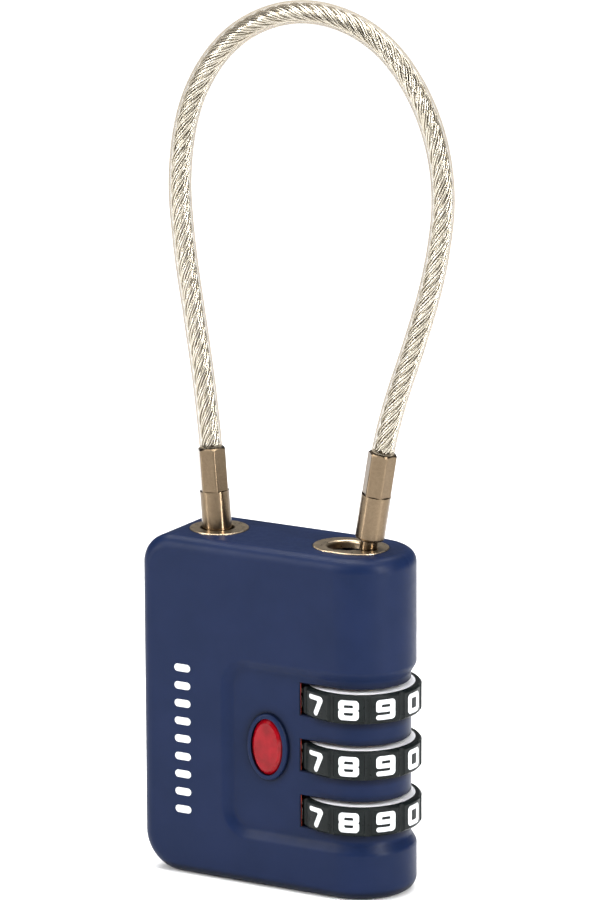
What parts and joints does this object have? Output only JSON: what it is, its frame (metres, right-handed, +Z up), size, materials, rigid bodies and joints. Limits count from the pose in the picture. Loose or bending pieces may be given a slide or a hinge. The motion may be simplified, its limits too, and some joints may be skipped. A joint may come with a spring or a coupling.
{
  "type": "combination cable padlock",
  "caption": "Small luggage padlock with a flexible cable shackle, rounded plastic body, wheel dials at one end and a key cylinder underneath.",
  "frame": {"origin": "under the middle of the body, in the plane of its flat bottom", "axes": "+X towards the dial end, +Y to the back, +Z up towards the cable"},
  "size_m": [0.0358, 0.0132, 0.0973],
  "materials": {
    "housing": "satin",
    "badge": "gloss enamel",
    "steel": "plain",
    "zinc": "red-brown coated casting",
    "nickel": "warm satin plate",
    "spring_steel": "drawn wire and strip",
    "button": "matte",
    "brass": "turned",
    "dial_black": "satin",
    "dial_white": "matte",
    "rope": "bright strands",
    "jacket": "clear vinyl"
  },
  "bodies": {
    "case": {"front_housing": "housing", "back_cover": "housing", "cover_pins": "steel", "chassis": "zinc", "chassis_plate": "steel", "chassis_screws": "steel", "swivel_plate": "nickel", "keyhole_plate": "nickel", "fixed_ferrule": "nickel", "swivel_pin": "nickel", "detent_spring": "spring_steel", "key_cylinder_shell": "steel", "badge_collar": "housing", "badge": "badge", "wire_rope": "rope", "cable_jacket": "jacket", "spindle_spring": "spring_steel", "reset_spring": "spring_steel"},
    "plug": {"plug_ferrule": "nickel", "plug_pin": "nickel"},
    "spindle": {"spindle": "steel", "latch": "steel", "spindle_clip": "spring_steel"},
    "reset": {"reset_button": "button"},
    "key_barrel": {"key_plug": "brass", "key_wafers": "brass", "key_cam": "steel", "cam_clip": "spring_steel"},
    "override": {"override_slide": "steel"},
    "dial_1": {"number_ring_1": "dial_black", "dial_core_1": "dial_white"},
    "sleeve_1": {"code_sleeve_1": "brass"},
    "dial_2": {"number_ring_2": "dial_black", "dial_core_2": "dial_white"},
    "sleeve_2": {"code_sleeve_2": "brass"},
    "dial_3": {"number_ring_3": "dial_black", "dial_core_3": "dial_white"},
    "sleeve_3": {"code_sleeve_3": "brass"}
  },
  "joints": [
    {"name": "plug_slide", "type": "slide", "parent": "case", "child": "plug", "axis": [-1, 0, 0], "range_m": [0, 0.0027], "deforming": ["wire_rope", "cable_jacket"]},
    {"name": "spindle_drop", "type": "slide", "parent": "case", "child": "spindle", "axis": [0, 0, -1], "range_m": [0, 0.0013], "stiffness_N_per_m": 200, "springref_m": -0.001, "deforming": ["spindle_spring"]},
    {"name": "dial_1_spin", "type": "hinge", "parent": "case", "child": "dial_1", "pos_m": [0.0089, 0, 0.00915], "axis": [0, 0, 1], "continuous": true},
    {"name": "dial_2_spin", "type": "hinge", "parent": "case", "child": "dial_2", "pos_m": [0.0089, 0, 0.01545], "axis": [0, 0, 1], "continuous": true},
    {"name": "dial_3_spin", "type": "hinge", "parent": "case", "child": "dial_3", "pos_m": [0.0089, 0, 0.02175], "axis": [0, 0, 1], "continuous": true},
    {"name": "sleeve_1_lift", "type": "slide", "parent": "dial_1", "child": "sleeve_1", "axis": [0, 0, 1], "range_m": [0, 0.0012]},
    {"name": "sleeve_2_lift", "type": "slide", "parent": "dial_2", "child": "sleeve_2", "axis": [0, 0, 1], "range_m": [0, 0.0012]},
    {"name": "sleeve_3_lift", "type": "slide", "parent": "dial_3", "child": "sleeve_3", "axis": [0, 0, 1], "range_m": [0, 0.0012], "deforming": ["reset_spring"]},
    {"name": "reset_press", "type": "slide", "parent": "case", "child": "reset", "axis": [0, 0, 1], "range_m": [0, 0.0012], "stiffness_N_per_m": 300, "springref_m": -0.001},
    {"name": "key_turn", "type": "hinge", "parent": "case", "child": "key_barrel", "pos_m": [-0.009, 0, 0.007], "axis": [0, 0, 1], "range_deg": [0, 90]},
    {"name": "override_move", "type": "slide", "parent": "case", "child": "override", "axis": [1, 0, 0], "range_m": [0, 0.0016]}
  ],
  "couplings": [
    {"joint": "spindle_drop", "follows": "plug_slide", "ratio": 0.48148},
    {"joint": "sleeve_1_lift", "follows": "reset_press", "ratio": 1},
    {"joint": "sleeve_2_lift", "follows": "reset_press", "ratio": 1},
    {"joint": "sleeve_3_lift", "follows": "reset_press", "ratio": 1},
    {"joint": "key_turn", "follows": "override_move", "rad_per_m": 981.75}
  ]
}
